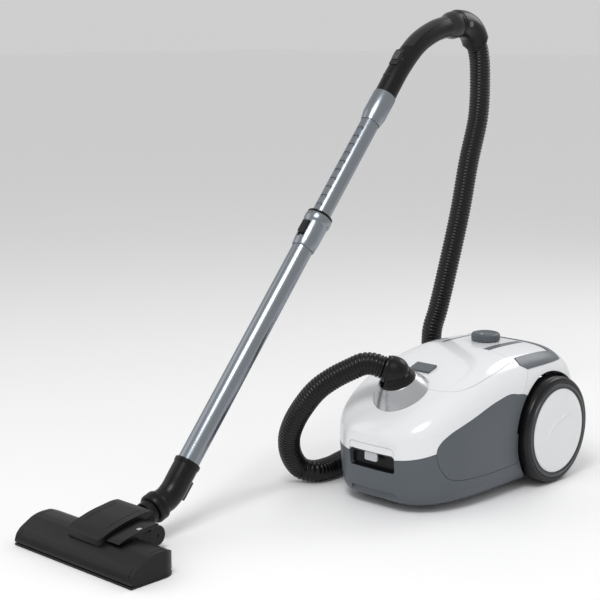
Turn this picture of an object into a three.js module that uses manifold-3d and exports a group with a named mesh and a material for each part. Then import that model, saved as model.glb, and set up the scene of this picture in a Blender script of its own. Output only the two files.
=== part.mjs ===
// Canister vacuum cleaner with hose, telescopic tube and floor nozzle, standing ready for use.
// Millimetres, +Z up. While it is being built the canister's middle is at x = 0, y = 0, its front
// faces -Y, and the floor is z = 0. The last lines move the origin to the middle of the footprint.
import * as THREE from 'three';
import { mergeVertices } from 'three/addons/utils/BufferGeometryUtils.js';
import Module from 'manifold-3d';

const wasm = await Module();
wasm.setup();

// ---- driving dimensions -------------------------------------------------------------------------
const GAP = 0.4; // clearance between pieces that meet
const WALL = 3; // moulded wall

const NOSE = 214; // canister, middle to nose
const TAIL = 211; // canister, middle to tail
const HALF_WIDTH = 126;
const WAIST_Z = 95.5; // widest level of the housing
const BELLY_Z = 8;
const CROWN_Z = 232;
const SEAM = { z: 101.5, bendY: -170, noseZ: 73.5, noseY: -260 }; // lower shell below, covers above
const HINGE_Y = 35.5; // the lid's hinge line on the roof
const HINGE_GAP = 0.8;

const WHEEL = { y: 115, r: 91.7, inner: 109, outer: 144, hub: 73, axle: 7 };
const CASTER = { y: -148, wheel: 13, width: 12, plate: 21, ceiling: 33 };
const KNOB = { y: 94, r: 25, low: 233, high: 246, shaft: 4 };
const PEDAL = { front: 37.5, rear: 137, depth: 7 };
const REWIND = { ...PEDAL, x: 43, halfWidth: 6.5 };
const POWER = { ...PEDAL, x: -50, halfWidth: 2.5 };
const HANDLE_BAR = { x: 93, y: 150, front: 47.5, toe: 61.5, rear: 166, low: 204, depth: 9 };
const HANDLE_PIVOT = { y: 56, z: 216, r: 8.2 };
const LATCH = { halfWidth: 47, top: 107.5, low: 88.5, recessLow: 66, depth: 15, hook: 13 };
const TOE_KICK = { halfWidth: 48, depth: 14, top: 32 };

const INLET = { y: -137, z: 184, lean: 25.8, base: 50, rim: 32, height: 22, plug: 25, bore: 21 };
const ELBOW = { turn: 38, length: 9 };

const WAND_X = -143; // the tube, handle and nozzle lie in this upright plane
const WAND_FOOT = { y: -482, z: 104 }; // lower end of the tube, where it enters the neck
const WAND_ANGLE = 49.7; // above the floor
const OUTER_TUBE = { r: 17.8, bore: 16.8, low: -28, high: 415 };
const INNER_TUBE = { r: 16.2, bore: 15, low: 180, high: 716 };
const SLEEVE = { low: 404, high: 468, r: 21 };
const GRIP = { r: 18.8, bore: 15 };
const CUFF_R = 24.4;

const NOZZLE = { left: -278, right: -8, front: -712, rear: -622, top: 41, slot: 26, corner: 26 };
const BARREL = { y: -583, z: 24, r: 16.2, half: 38 };
const NECK = { y: -545, z: 52, drop: 20, ring: 24, socket: 20 };

const HOSE = { r: 19, sides: 8, steps: 60 };
const HOSE_ROUTE = [
  [-14.1, -162.7, 223.5], [-19.5, -166.2, 225.5], [-29, -172.4, 229], [-43, -181, 228.5],
  [-59, -190, 220], [-86, -206, 202.5],
  [-110, -220, 181], [-133, -228, 151], [-155, -229, 118], [-174, -220.5, 83.6], [-181, -207.5, 52],
  [-181, -182, 23], [-163, -169, 19.5], [-158, -137, 19.4], [-166, -97, 19.4], [-177, -50, 19.4],
  [-190, 0, 19.4], [-199, 60, 19.4], [-205, 115, 22], [-208, 160, 42], [-207, 190, 84],
  [-204, 200, 140], [-195, 192, 209], [-188, 199, 246.5], [-176, 216, 339], [-165, 231.5, 432],
  [-156, 243, 524.5], [-150, 259.5, 600], [-147, 260, 637], [-144.5, 256.6, 679.6], [-143, 252.5, 706],
  [-143, 249.5, 719.5], [-143, 246, 730.1], [-143, 241.4, 738.1],
];

// ---- colours --------------------------------------------------------------------------------------
const finish = (color, roughness, metalness = 0) => ({ color, roughness, metalness });
const WHITE = finish(0xf1f2f4, 0.25);
const SLATE = finish(0x5a6066, 0.5);
const BLACK = finish(0x1b1c1e, 0.45);
const SATIN_BLACK = finish(0x2a2b2d, 0.5);
const RUBBER = finish(0x101011, 0.85);
const SILVER = finish(0xc3c6c9, 0.3, 0.8);
const STEEL = finish(0xa9afb5, 0.2, 1);
const PAPER = finish(0xd9d2c4, 0.9);
const FOAM = finish(0x3c4046, 0.95);
const PALE = finish(0xb9bcc0, 0.5);
const COPPER = finish(0x8a5a3c, 0.5, 0.6);

// ---- solids ---------------------------------------------------------------------------------------
const point = (x, y, z) => new THREE.Vector3(x, y, z);
const spread = (middle, half) => [middle - half, middle + half];
const radians = THREE.MathUtils.degToRad;

// Turns a closed geometry into a solid that can be joined and cut.
function solid(geometry) {
  const bare = geometry.clone();
  for (const name of Object.keys(bare.attributes)) if (name !== 'position') bare.deleteAttribute(name);
  const merged = mergeVertices(bare, 1e-3);
  const index = merged.index.array;
  const kept = [];
  for (let i = 0; i < index.length; i += 3) {
    const [a, b, c] = [index[i], index[i + 1], index[i + 2]];
    if (a !== b && b !== c && c !== a) kept.push(a, b, c);
  }
  const vertProperties = Float32Array.from(merged.attributes.position.array);
  const triVerts = Uint32Array.from(kept);
  return new wasm.Manifold(new wasm.Mesh({ numProp: 3, vertProperties, triVerts }));
}

function geometryOf(body) {
  const mesh = body.getMesh();
  const geometry = new THREE.BufferGeometry();
  geometry.setAttribute('position', new THREE.BufferAttribute(mesh.vertProperties, 3));
  geometry.setIndex(new THREE.BufferAttribute(mesh.triVerts, 1));
  geometry.computeVertexNormals();
  return geometry;
}

const join = (...bodies) => bodies.reduce((whole, body) => whole.add(body));
const cut = (body, ...tools) => tools.reduce((rest, tool) => rest.subtract(tool), body);
const mirrored = (make) => join(make(1), make(-1));

function block(x, y, z) {
  const geometry = new THREE.BoxGeometry(x[1] - x[0], y[1] - y[0], z[1] - z[0]);
  geometry.translate((x[0] + x[1]) / 2, (y[0] + y[1]) / 2, (z[0] + z[1]) / 2);
  return solid(geometry);
}

// Fewer facets on thin bars.
const sidesFor = (r) => (r > 12 ? 20 : 12);

// A round bar, or a cone when the two radii differ, from one point to another.
function rod(from, to, r, rEnd = r, sides = sidesFor(r)) {
  const along = to.clone().sub(from);
  const geometry = new THREE.CylinderGeometry(rEnd, r, along.length(), sides);
  geometry.translate(0, along.length() / 2, 0);
  const turn = new THREE.Quaternion().setFromUnitVectors(point(0, 1, 0), along.normalize());
  geometry.applyQuaternion(turn);
  geometry.translate(from.x, from.y, from.z);
  return solid(geometry);
}

// A straight tube with both ends open.
function pipe(from, to, r, bore, sides = sidesFor(r)) {
  const past = to.clone().sub(from).normalize();
  const drill = rod(from.clone().sub(past), to.clone().add(past), bore, bore, sides);
  return rod(from, to, r, r, sides).subtract(drill);
}

function prismX(outline, x) {
  const shape = new THREE.Shape(outline.map(([y, z]) => new THREE.Vector2(y, z)));
  const geometry = new THREE.ExtrudeGeometry(shape, { depth: x[1] - x[0], bevelEnabled: false });
  const turn = new THREE.Matrix4().makeBasis(point(0, 1, 0), point(0, 0, 1), point(1, 0, 0));
  geometry.applyMatrix4(turn);
  geometry.translate(x[0], 0, 0);
  return solid(geometry);
}

// A bar of round section along a smooth curve.
function bent(points, r, sides, steps) {
  const curve = new THREE.CatmullRomCurve3(points.map((p) => point(...p)), false, 'centripetal');
  const shape = new THREE.Shape();
  for (let i = 0; i < sides; i += 1) {
    const angle = (2 * Math.PI * i) / sides;
    const [u, v] = [r * Math.cos(angle), r * Math.sin(angle)];
    if (i === 0) shape.moveTo(u, v);
    else shape.lineTo(u, v);
  }
  return new THREE.ExtrudeGeometry(shape, { extrudePath: curve, steps });
}

// ---- the scene ------------------------------------------------------------------------------------
const vacuum = new THREE.Group();

function part(name, look, shape) {
  const geometry = shape.isBufferGeometry ? shape : geometryOf(shape);
  const mesh = new THREE.Mesh(geometry, new THREE.MeshStandardMaterial(look));
  mesh.name = name;
  vacuum.add(mesh);
  return mesh;
}

// ---- housing form ---------------------------------------------------------------------------------
// The roof falls away in front of y = 64 and is level behind it.
function crestAt(y) {
  return CROWN_Z - 0.0012 * Math.min(0, y - 64) ** 2;
}

const rounding = (s, n) => Math.max(0, 1 - s ** n) ** (1 / n);

// Below 0 inside the housing. Cross-sections are flattened ovals that shrink towards nose and tail,
// and the skirt below the waist draws in a little.
function housingField(p, inset) {
  const below = Math.max(0, WAIST_Z - p.z) / (WAIST_Z - BELLY_Z);
  const taper = 1 - 0.04 * below;
  const [x, y] = [Math.abs(p.x) / taper, p.y / taper];
  const front = y < 0;
  const s = Math.abs(y) / ((front ? NOSE : TAIL) - inset);
  if (s >= 1) return 1;
  const above = p.z > WAIST_Z;
  const roof = (crestAt(y) - inset - WAIST_Z) * rounding(s, front ? 6 : 5.2);
  const floor = (WAIST_Z - BELLY_Z - inset) * rounding(s, 10);
  const width = (HALF_WIDTH - inset) * rounding(s, front ? 3.1 : 9);
  const n = above ? 4.1 : 8;
  return (x / width) ** n + (Math.abs(p.z - WAIST_Z) / (above ? roof : floor)) ** n - 1;
}

// A finely divided box whose corners are pushed out along rays until they meet the housing's skin.
function housing(inset, detail = 8) {
  const geometry = new THREE.BoxGeometry(2, 2, 2, detail, detail, detail);
  const position = geometry.attributes.position;
  const ray = point(0, 0, 0);
  for (let i = 0; i < position.count; i += 1) {
    ray.fromBufferAttribute(position, i);
    ray.set(Math.tan(ray.x * 0.78), Math.tan(ray.y * 0.78), Math.tan(ray.z * 0.78));
    ray.set(ray.x * HALF_WIDTH, ray.y * NOSE, ray.z * (CROWN_Z - WAIST_Z));
    let [near, far] = [0, 2];
    for (let step = 0; step < 30; step += 1) {
      const middle = (near + far) / 2;
      const probe = ray.clone().multiplyScalar(middle);
      probe.z += WAIST_Z;
      if (housingField(probe, inset) < 0) near = middle;
      else far = middle;
    }
    ray.multiplyScalar(near);
    position.setXYZ(i, ray.x, ray.y, ray.z + WAIST_Z);
  }
  return solid(geometry);
}

// Hollows that the outside of the housing has: wheel wells, caster pocket, latch recess and toe kick.
function hollows(grow) {
  const well = (side) => rod(
    point(side * (WHEEL.inner - 3 - grow), WHEEL.y, WHEEL.r),
    point(side * 170, WHEEL.y, WHEEL.r), WHEEL.r + 4 + grow, WHEEL.r + 4 + grow, 24,
  );
  const pocket = rod(
    point(0, CASTER.y, -5), point(0, CASTER.y, CASTER.ceiling + grow), CASTER.plate + 4 + grow,
  );
  const recess = block(
    [-LATCH.halfWidth - grow, LATCH.halfWidth + grow],
    [-NOSE - 5, -NOSE + LATCH.depth + grow], [LATCH.recessLow - grow, LATCH.low],
  );
  const toeKick = block(
    [-TOE_KICK.halfWidth - grow, TOE_KICK.halfWidth + grow],
    [-NOSE - 5, -NOSE + TOE_KICK.depth + grow], [-5, TOE_KICK.top + grow],
  );
  return join(mirrored(well), pocket, recess, toeKick);
}

const outside = cut(housing(0), hollows(0));
const inside = cut(housing(WALL), hollows(WALL));
const skin = outside.subtract(inside);

// ---- where the housing is divided --------------------------------------------------------------
const ALL = [-300, 300];
const SIDE_PANEL = [
  [-170, 98], [-168, 112], [-159, 123.5], [-139, 136], [-57, 163.5], [-12, 172], [0, 172.6], [9, 171.6],
  [21, 168.6], [36, 167], [66, 153], [66, 56], [30, 50], [-79, 48.5], [-132, 51.6], [-149, 58], [-164, 78],
];

function grown(outline, by) {
  const [y0, z0] = [-60, 112];
  return outline.map(([y, z]) => [y + Math.sign(y - y0) * by, z + Math.sign(z - z0) * by]);
}

const wheelWall = (grow) => mirrored((side) => rod(
  point(side * (WHEEL.inner - 7 - grow), WHEEL.y, WHEEL.r),
  point(side * 170, WHEEL.y, WHEEL.r), WHEEL.r + 7.5 + grow, WHEEL.r + 7.5 + grow, 24,
));
const panelZone = (grow) => mirrored((side) => prismX(
  grown(SIDE_PANEL, grow), side > 0 ? [30 - grow, 170] : [-170, -30 + grow],
));
const latchZone = (grow) => block(
  [-LATCH.halfWidth - grow, LATCH.halfWidth + grow], [-260, -203], [LATCH.low - 3, LATCH.top + grow],
);
const seamLine = (lift) => [[SEAM.noseY, SEAM.noseZ + lift], [SEAM.bendY, SEAM.z + lift]];
const belowSeam = () => prismX([[SEAM.noseY, -10], [260, -10], [260, SEAM.z], ...seamLine(0).reverse()], ALL);
// Seen from the side, the lid's rear edge climbs backwards to the carry handle and returns to the hinge.
const lidRear = (gap) => [
  [HINGE_Y + gap, SEAM.z + GAP], [HINGE_Y + gap, 168], [HINGE_Y + 25 + gap, 204], [HINGE_Y + gap, 217],
  [HINGE_Y + gap, 260],
];
const handleZone = (grow) => {
  const { x, y, front, toe, rear, low } = HANDLE_BAR;
  const around = prismX([
    [toe - grow, low - grow], [rear + grow, low - grow], [rear + grow, 260], [front - grow, 260],
    [front - grow, 211.3],
  ], ALL);
  return around.subtract(block([-x + grow, x - grow], [-100, y - grow], [100, 280]));
};

function lowerShell() {
  const half = skin.intersect(belowSeam());
  const wells = skin.intersect(wheelWall(0));
  const boss = rod(point(0, CASTER.y, CASTER.ceiling + 2), point(0, CASTER.y, CASTER.ceiling + 12), 9);
  const pin = rod(point(0, CASTER.y, 20), point(0, CASTER.y, 60), 4 + GAP);
  const axles = mirrored((side) => rod(
    point(side * 90, WHEEL.y, WHEEL.r), point(side * 130, WHEEL.y, WHEEL.r), WHEEL.axle + GAP,
  ));
  const gland = rod(point(45, 180, 62), point(45, 240, 62), 8 + GAP);
  const openings = join(panelZone(GAP).subtract(wheelWall(0)), latchZone(GAP), pin, axles, gland);
  return join(half, wells, boss).subtract(openings);
}

function sidePanel(side) {
  const zone = prismX(SIDE_PANEL, side > 0 ? [30, 170] : [-170, -30]);
  return cut(skin.intersect(zone), wheelWall(GAP));
}

function lid() {
  const zone = prismX([...seamLine(GAP), ...lidRear(0), [-260, 260]], ALL);
  return cut(skin.intersect(zone), panelZone(GAP), wheelWall(GAP), latchZone(GAP), inletHole(INLET.plug + 4));
}

function topCover() {
  const zone = prismX([[260, SEAM.z + GAP], [260, 260], ...lidRear(HINGE_GAP).reverse()], ALL);
  const trough = housing(0).subtract(housing(HANDLE_BAR.depth + 4)).intersect(handleZone(3));
  const bay = housing(-2).subtract(housing(HANDLE_BAR.depth + 1)).intersect(handleZone(0.8));
  const pivot = rod(
    point(-140, HANDLE_PIVOT.y, HANDLE_PIVOT.z), point(140, HANDLE_PIVOT.y, HANDLE_PIVOT.z), 10.5,
  ).intersect(handleZone(1.5));
  const cover = join(skin, trough).intersect(zone);
  const knobHole = rod(point(0, KNOB.y, 200), point(0, KNOB.y, 260), KNOB.shaft + 1);
  return cut(
    cover, bay, pivot, panelZone(GAP), wheelWall(GAP), knobHole,
    pedalZone(REWIND, GAP), pedalZone(POWER, GAP), grilleZone(GAP),
  );
}

function carryHandle() {
  const { y, z, r } = HANDLE_PIVOT;
  const bar = housing(0).subtract(housing(HANDLE_BAR.depth)).intersect(handleZone(0));
  const square = block([-150, 150], [0, y], [100, 300]);
  const nose = rod(point(-150, y, z), point(150, y, z), r);
  return cut(bar, square.subtract(nose));
}

const pedalZone = ({ x, halfWidth, front, rear }, grow) => block(
  [x - halfWidth - grow, x + halfWidth + grow], [front - grow, rear + grow], [190, 260],
);

function pedal(place) {
  return housing(0).subtract(housing(place.depth)).intersect(pedalZone(place, 0));
}

const grilleZone = (grow) => block([-50 - grow, 50 + grow], [150, 260], [118 - grow, 170 + grow]);

function rearGrille() {
  let grille = skin.intersect(grilleZone(0));
  for (let row = 0; row < 5; row += 1) {
    const z = 122.5 + row * 9;
    grille = grille.subtract(block([-44, 44], [150, 260], [z, z + 5]));
  }
  return grille;
}

// The flap under the lid's nose: a plate of the skin with a hook that hangs in the recess.
function lidLatch() {
  const flap = skin.intersect(latchZone(0)).intersect(block(ALL, ALL, [LATCH.low + GAP, 200]));
  const hook = block([-LATCH.hook, LATCH.hook], [-211.9, -208.4], [80, LATCH.low + 8]);
  return flap.add(hook);
}

// A thumb tab that lies on the roof behind the inlet collar.
function releaseTab() {
  const pad = housing(-4).subtract(housing(-0.6));
  return pad.intersect(block([-24, 17], [-86, -64], [150, 260]));
}

function knob() {
  const cap = rod(point(0, KNOB.y, KNOB.low), point(0, KNOB.y, KNOB.high), KNOB.r, KNOB.r - 1.5, 40);
  return cap.add(rod(point(0, KNOB.y, 203), point(0, KNOB.y, KNOB.high - 2), KNOB.shaft, KNOB.shaft, 16));
}

// ---- inlet ----------------------------------------------------------------------------------------
const inletAxis = point(0, -Math.sin(radians(INLET.lean)), Math.cos(radians(INLET.lean)));
const onInlet = (distance) => point(0, INLET.y, INLET.z).addScaledVector(inletAxis, distance);
const inletHole = (r) => rod(onInlet(-60), onInlet(60), r);

const ELBOW_TURN = onInlet(ELBOW.turn);
const ELBOW_OUT = point(-0.8, -0.52, 0.3).normalize();
const fromElbow = (distance) => ELBOW_TURN.clone().addScaledVector(ELBOW_OUT, ELBOW.length + distance);

function ball(centre, r) {
  const geometry = new THREE.SphereGeometry(r, 20, 14);
  geometry.translate(centre.x, centre.y, centre.z);
  return solid(geometry);
}

function inletCollar() {
  const cone = rod(onInlet(-14), onInlet(INLET.height), INLET.base + 4, INLET.rim, 36);
  return cut(cone, inletHole(INLET.plug + 5.2), housing(-GAP));
}

const CLIP = { out: point(0.98, 0.05, -0.2).normalize(), r: 4.5 };
const clipReach = (distance) => ELBOW_TURN.clone().addScaledVector(CLIP.out, distance);

// A plug in the collar, a ball where the pipe turns, and a short mouth for the hose.
function elbowPipe(r, past) {
  return join(
    rod(onInlet(-32 - past), ELBOW_TURN, r), ball(ELBOW_TURN, r), rod(ELBOW_TURN, fromElbow(past), r),
  );
}

function hoseElbow() {
  const skirt = rod(onInlet(INLET.height + GAP), onInlet(INLET.height + 14), INLET.rim - 1.5, 26);
  const body = join(elbowPipe(INLET.plug - 0.5, 0), skirt);
  const pocket = rod(clipReach(23.5), clipReach(40), CLIP.r + GAP, CLIP.r + GAP, 16);
  const beyondMouth = rod(fromElbow(0), fromElbow(20), 40);
  return cut(body, elbowPipe(INLET.bore, 3), pocket, beyondMouth);
}

// ---- what the canister holds ------------------------------------------------------------------------
const MOTOR = { x: -40, z: 84, can: 42, shroud: 54, shaft: 4 };
const REEL = { y: 118, z: 92, x: [28, 84], r: 59, core: 26, axle: 6 };
const motorAxis = (y) => point(MOTOR.x, y, MOTOR.z);

function dustBag() {
  const geometry = new THREE.BoxGeometry(2, 2, 2, 5, 5, 3);
  const position = geometry.attributes.position;
  const [half, middle] = [[80, 82, 38], [0, -88, 88]];
  for (let i = 0; i < position.count; i += 1) {
    const p = [position.getX(i), position.getY(i), position.getZ(i)];
    const length = (Math.abs(p[0]) ** 4 + Math.abs(p[1]) ** 4 + Math.abs(p[2]) ** 4) ** 0.25;
    position.setXYZ(i, ...p.map((v, axis) => middle[axis] + (half[axis] * v) / length));
  }
  return solid(geometry);
}

function bulkhead() {
  let wall = housing(WALL + 1).intersect(block(ALL, [22, 25], [0, 185])).subtract(wheelWall(GAP));
  for (const x of [-48, -16, 16, 48]) {
    for (const z of [70, 105, 140]) wall = wall.subtract(block([x - 12, x + 12], [20, 27], [z - 13, z + 13]));
  }
  return wall;
}

function fanShroud() {
  const cup = rod(motorAxis(38), motorAxis(61), MOTOR.shroud);
  const hollow = rod(motorAxis(41), motorAxis(70), MOTOR.shroud - 3);
  return cut(cup, hollow, rod(motorAxis(30), motorAxis(50), 18));
}

function fan() {
  let wheel = join(
    rod(motorAxis(43), motorAxis(126), MOTOR.shaft, MOTOR.shaft, 16),
    rod(motorAxis(53), motorAxis(56), MOTOR.shroud - 7),
  );
  for (let blade = 0; blade < 7; blade += 1) {
    const geometry = new THREE.BoxGeometry(32, 9.5, 2);
    geometry.translate(29, 49, 0);
    geometry.rotateY((2 * Math.PI * blade) / 7);
    geometry.translate(MOTOR.x, 0, MOTOR.z);
    wheel = wheel.add(solid(geometry));
  }
  return wheel.add(rod(motorAxis(44.3), motorAxis(53), 14, 14, 20));
}

function cableReel() {
  const on = (x) => point(x, REEL.y, REEL.z);
  const [x0, x1] = REEL.x;
  const drum = join(
    rod(on(x0), on(x0 + 2), REEL.r), rod(on(x1 - 2), on(x1), REEL.r), rod(on(x0), on(x1), REEL.core),
  );
  return drum.subtract(rod(on(x0 - 5), on(x1 + 5), REEL.axle));
}

const reelAxle = () => rod(
  point(20, REEL.y, REEL.z), point(90, REEL.y, REEL.z), REEL.axle - GAP, REEL.axle - GAP, 20,
);

// ---- wheels -----------------------------------------------------------------------------------------
const onAxle = (side, x) => point(side * x, WHEEL.y, WHEEL.r);

function tyre(side) {
  const { inner, outer, r } = WHEEL;
  const tread = join(
    rod(onAxle(side, inner), onAxle(side, outer - 6), r, r, 40),
    rod(onAxle(side, outer - 6), onAxle(side, outer - 4), r, r - 3, 40),
  );
  return tread.subtract(rod(onAxle(side, inner - 2), onAxle(side, outer + 2), r - 10, r - 10, 28));
}

function wheel(side) {
  const { inner, outer, r, hub, axle } = WHEEL;
  const edge = r - 10 - GAP;
  const drum = join(
    rod(onAxle(side, inner + 3), onAxle(side, outer - 4 + GAP), edge, edge, 28),
    pipe(onAxle(side, outer - 4 + GAP - 0.1), onAxle(side, outer - 1), r - 4, hub + GAP, 28),
  );
  const back = rod(onAxle(side, inner), onAxle(side, inner + 11), edge - 6, edge - 6, 24);
  const boss = rod(onAxle(side, inner + 1), onAxle(side, outer - 10), 15);
  return cut(join(drum.subtract(back), boss), rod(onAxle(side, 90), onAxle(side, 138), axle + GAP));
}

function hubcap(side) {
  const { outer, hub } = WHEEL;
  return rod(onAxle(side, outer - 3), onAxle(side, outer), hub, hub - 3, 36);
}

function casterFork() {
  const { y, plate, ceiling, wheel: r, width } = CASTER;
  const cheek = (side) => block(
    side > 0 ? [width / 2 + 1, width / 2 + 4] : [-width / 2 - 4, -width / 2 - 1],
    [y - 7, y + 12], [r - 5, ceiling - 4],
  );
  return join(
    rod(point(0, y, ceiling - 6), point(0, y, ceiling - 1), plate),
    rod(point(0, y, ceiling - 2), point(0, y, ceiling + 11), 4),
    mirrored(cheek), rod(point(-width / 2 - 3, y + 5, r), point(width / 2 + 3, y + 5, r), 2.2, 2.2, 12),
  );
}

function casterWheel() {
  const { y, wheel: r, width } = CASTER;
  return pipe(point(-width / 2, y + 5, r), point(width / 2, y + 5, r), r, 2.6, 28);
}

// ---- tube and handle --------------------------------------------------------------------------------
const tubeUp = point(0, Math.cos(radians(WAND_ANGLE)), Math.sin(radians(WAND_ANGLE)));
const tubeFront = point(0, -tubeUp.z, tubeUp.y);

function onTube(distance, off = 0) {
  return point(WAND_X, WAND_FOOT.y, WAND_FOOT.z)
    .addScaledVector(tubeUp, distance).addScaledVector(tubeFront, off);
}

// A block beside the tube, given by its span along the tube and its distance off the tube's axis.
function tubeBlock(span, off, halfWidth) {
  const corners = [[span[0], off[0]], [span[1], off[0]], [span[1], off[1]], [span[0], off[1]]];
  const outline = corners.map(([along, out]) => onTube(along, out)).map((p) => [p.y, p.z]);
  return prismX(off[0] < 0 ? outline : outline.reverse(), [WAND_X - halfWidth, WAND_X + halfWidth]);
}

const inPlane = (y, z) => [WAND_X, y, z];
const GRIP_END = point(WAND_X, 175, 773.1);
const gripDir = point(0, 0.985, 0.172).normalize();
const onGrip = (distance) => GRIP_END.clone().addScaledVector(gripDir, distance);
const CUFF_END = point(WAND_X, 238, 744);
const cuffDir = point(0, 0.5, -0.866).normalize();
const onCuff = (distance) => CUFF_END.clone().addScaledVector(cuffDir, distance);

function handleCourse(past) {
  const bend = [inPlane(24, 700.5), inPlane(70, 740), inPlane(116, 761)];
  return [onTube(721.4 - past).toArray(), ...bend, onGrip(-25).toArray(), onGrip(past).toArray()];
}

function handle() {
  const grip = solid(bent(handleCourse(0), GRIP.r, 16, 14));
  const flare = join(rod(onGrip(-27), onGrip(-12), GRIP.r, CUFF_R), rod(onGrip(-13), onGrip(0), CUFF_R));
  const vent = rod(onTube(790), onTube(790, 60), 3, 3, 12);
  return cut(join(grip, flare), solid(bent(handleCourse(3), GRIP.bore, 12, 14)), vent);
}

// The cuff turns down towards the hose. Its button sits in its outer side.
const CUFF_BUTTON = point(WAND_X, 192, 773.8);
const cuffButtonAt = (x) => point(WAND_X + x, CUFF_BUTTON.y, CUFF_BUTTON.z);

function handleCuff() {
  const course = (past) => [
    onGrip(GAP - past).toArray(), onGrip(10).toArray(), inPlane(203, 773.2), inPlane(220, 766),
    onCuff(-12).toArray(), onCuff(past).toArray(),
  ];
  const pocket = rod(cuffButtonAt(20.5), cuffButtonAt(40), 5.4);
  return cut(solid(bent(course(0), CUFF_R, 16, 12)), solid(bent(course(3), 17, 12, 12)), pocket);
}

function tubeCollar() {
  const body = join(rod(onTube(662), onTube(676), 19, 21.5), rod(onTube(675), onTube(721), 21.6));
  const seat = rod(onTube(650), onTube(717), INNER_TUBE.r + GAP);
  return cut(body, seat, rod(onTube(710), onTube(730), INNER_TUBE.bore));
}

const BUTTON = { low: 423, high: 447, inner: 18.6, outer: 24.5, halfWidth: 6.5, travel: 5 };

const tube = ({ low, high, r, bore }) => pipe(onTube(low), onTube(high), r, bore);
const tubeButton = () => tubeBlock([BUTTON.low, BUTTON.high], [BUTTON.inner, BUTTON.outer], BUTTON.halfWidth);

function tubeSleeve() {
  const { low, high, r } = SLEEVE;
  const body = join(
    rod(onTube(low), onTube(low + 18), 19.6, r), rod(onTube(low + 18), onTube(high), r),
    rod(onTube(high - 16), onTube(high - 2), r + 2.2),
  );
  const lowBore = rod(onTube(low - 5), onTube(OUTER_TUBE.high + GAP), OUTER_TUBE.r + GAP);
  const highBore = rod(onTube(low), onTube(high + 5), INNER_TUBE.r + GAP);
  const { inner, halfWidth, travel } = BUTTON;
  const slot = tubeBlock(
    [BUTTON.low - travel - GAP, BUTTON.high + GAP], [inner - 1, 40], halfWidth + GAP,
  );
  return cut(body, lowBore, highBore, slot);
}

// ---- neck -------------------------------------------------------------------------------------------
const neckDir = point(0, -Math.cos(radians(NECK.drop)), -Math.sin(radians(NECK.drop)));
const onNeck = (distance) => point(WAND_X, NECK.y, NECK.z).addScaledVector(neckDir, distance);

function neckCourse(past) {
  const tube = [0 + past, -25, -46].map((s) => onTube(s).toArray());
  return [...tube, onNeck(-22).toArray(), onNeck(-6.5 + past).toArray()];
}

function neckElbow() {
  const body = solid(bent(neckCourse(0), NECK.socket, 16, 8));
  const socket = rod(onTube(OUTER_TUBE.low - GAP), onTube(5), OUTER_TUBE.r + GAP);
  const clipBay = tubeBlock([-46.5, -19.5], [-30, -18], 6);
  return cut(body, socket, solid(bent(neckCourse(4), 14.5, 12, 8)), clipBay);
}

function neckClip() {
  return join(tubeBlock([-46, -20], [-25.9, -20], 5), tubeBlock([-64, -20], [-29.5, -25.5], 7));
}

function yoke() {
  const { y, z, r, half } = BARREL;
  const across = (x) => point(WAND_X + x, y, z);
  const throat = join(rod(onNeck(13.4), onNeck(25), 19), rod(onNeck(22), point(WAND_X, y, z), 18.5, 14));
  const body = join(rod(across(-half), across(half), r), throat);
  const bore = join(
    rod(across(-half + 3), across(half + 5), r - 3), rod(onNeck(10), point(WAND_X, y, z), 15, 11),
  );
  const mouth = block([WAND_X - 24, WAND_X + 24], [y - 30, y - 8], [z - 9, z + 9]);
  return cut(body, bore, mouth);
}

// ---- floor nozzle -----------------------------------------------------------------------------------
const NOZZLE_X = [NOZZLE.left, NOZZLE.right];
const NOZZLE_MIDDLE = (NOZZLE.left + NOZZLE.right) / 2;
const SOLE_TOP = 3.2;
const ROLLER = { x: 100, y: -634.5, z: 7.8, r: 7.4, halfWidth: 5 };

// Side view of the housing: a steep lip, a long rounded brow and a falling rear wall.
function nozzleOutline(wall, base) {
  const { front, rear, top } = NOZZLE;
  return [
    [front + wall, base], [rear - wall, base], [rear - wall, top - 15], [rear - 7 - wall, top - 6],
    [rear - 22, top - wall], [front + 48, top - wall], [front + 34, top - 3 - wall],
    [front + 21, top - 10 - wall], [front + 10, top - 16 - wall], [front + 3 + wall, top - 24 - wall / 2],
    [front + wall, top - 32],
  ];
}

// Rounds the two rear corners in plan.
function rearCorners(wall) {
  const { left, right, rear, corner } = NOZZLE;
  return mirrored((side) => {
    const x = side > 0 ? right : left;
    const reach = corner + wall;
    const square = block(
      side > 0 ? [x - reach, x + 5] : [x - 5, x + reach], [rear - reach, rear + 5], [-20, 60],
    );
    const post = [-30, 70].map((z) => point(x - side * reach, rear - reach, z));
    return square.subtract(rod(post[0], post[1], corner, corner, 32));
  });
}

const rollerBay = (grow) => mirrored((side) => block(
  spread(NOZZLE_MIDDLE + side * ROLLER.x, ROLLER.halfWidth + grow),
  [ROLLER.y - ROLLER.r - grow, ROLLER.y + ROLLER.r + grow], [-5, ROLLER.z + ROLLER.r + grow],
));

function nozzleHousing() {
  const hull = prismX(nozzleOutline(0, SOLE_TOP + GAP), NOZZLE_X).subtract(rearCorners(0));
  const hollow = prismX(nozzleOutline(3, -5), [NOZZLE.left + 3, NOZZLE.right - 3]).subtract(rearCorners(3));
  const { y, z, r, half } = BARREL;
  const ear = (side) => {
    const x = [WAND_X + side * (half + GAP), WAND_X + side * (half + 6)];
    const disc = rod(point(x[0], y, z), point(x[1], y, z), r);
    const arm = block([Math.min(...x), Math.max(...x)], [NOZZLE.rear - 2, y], [z - 10, z + 10]);
    return disc.add(arm);
  };
  const duct = block([WAND_X - 24, WAND_X + 24], [NOZZLE.rear - 5, NOZZLE.rear + 5], [z - 9, z + 9]);
  return cut(join(hull.subtract(hollow), mirrored(ear)), duct);
}

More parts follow.
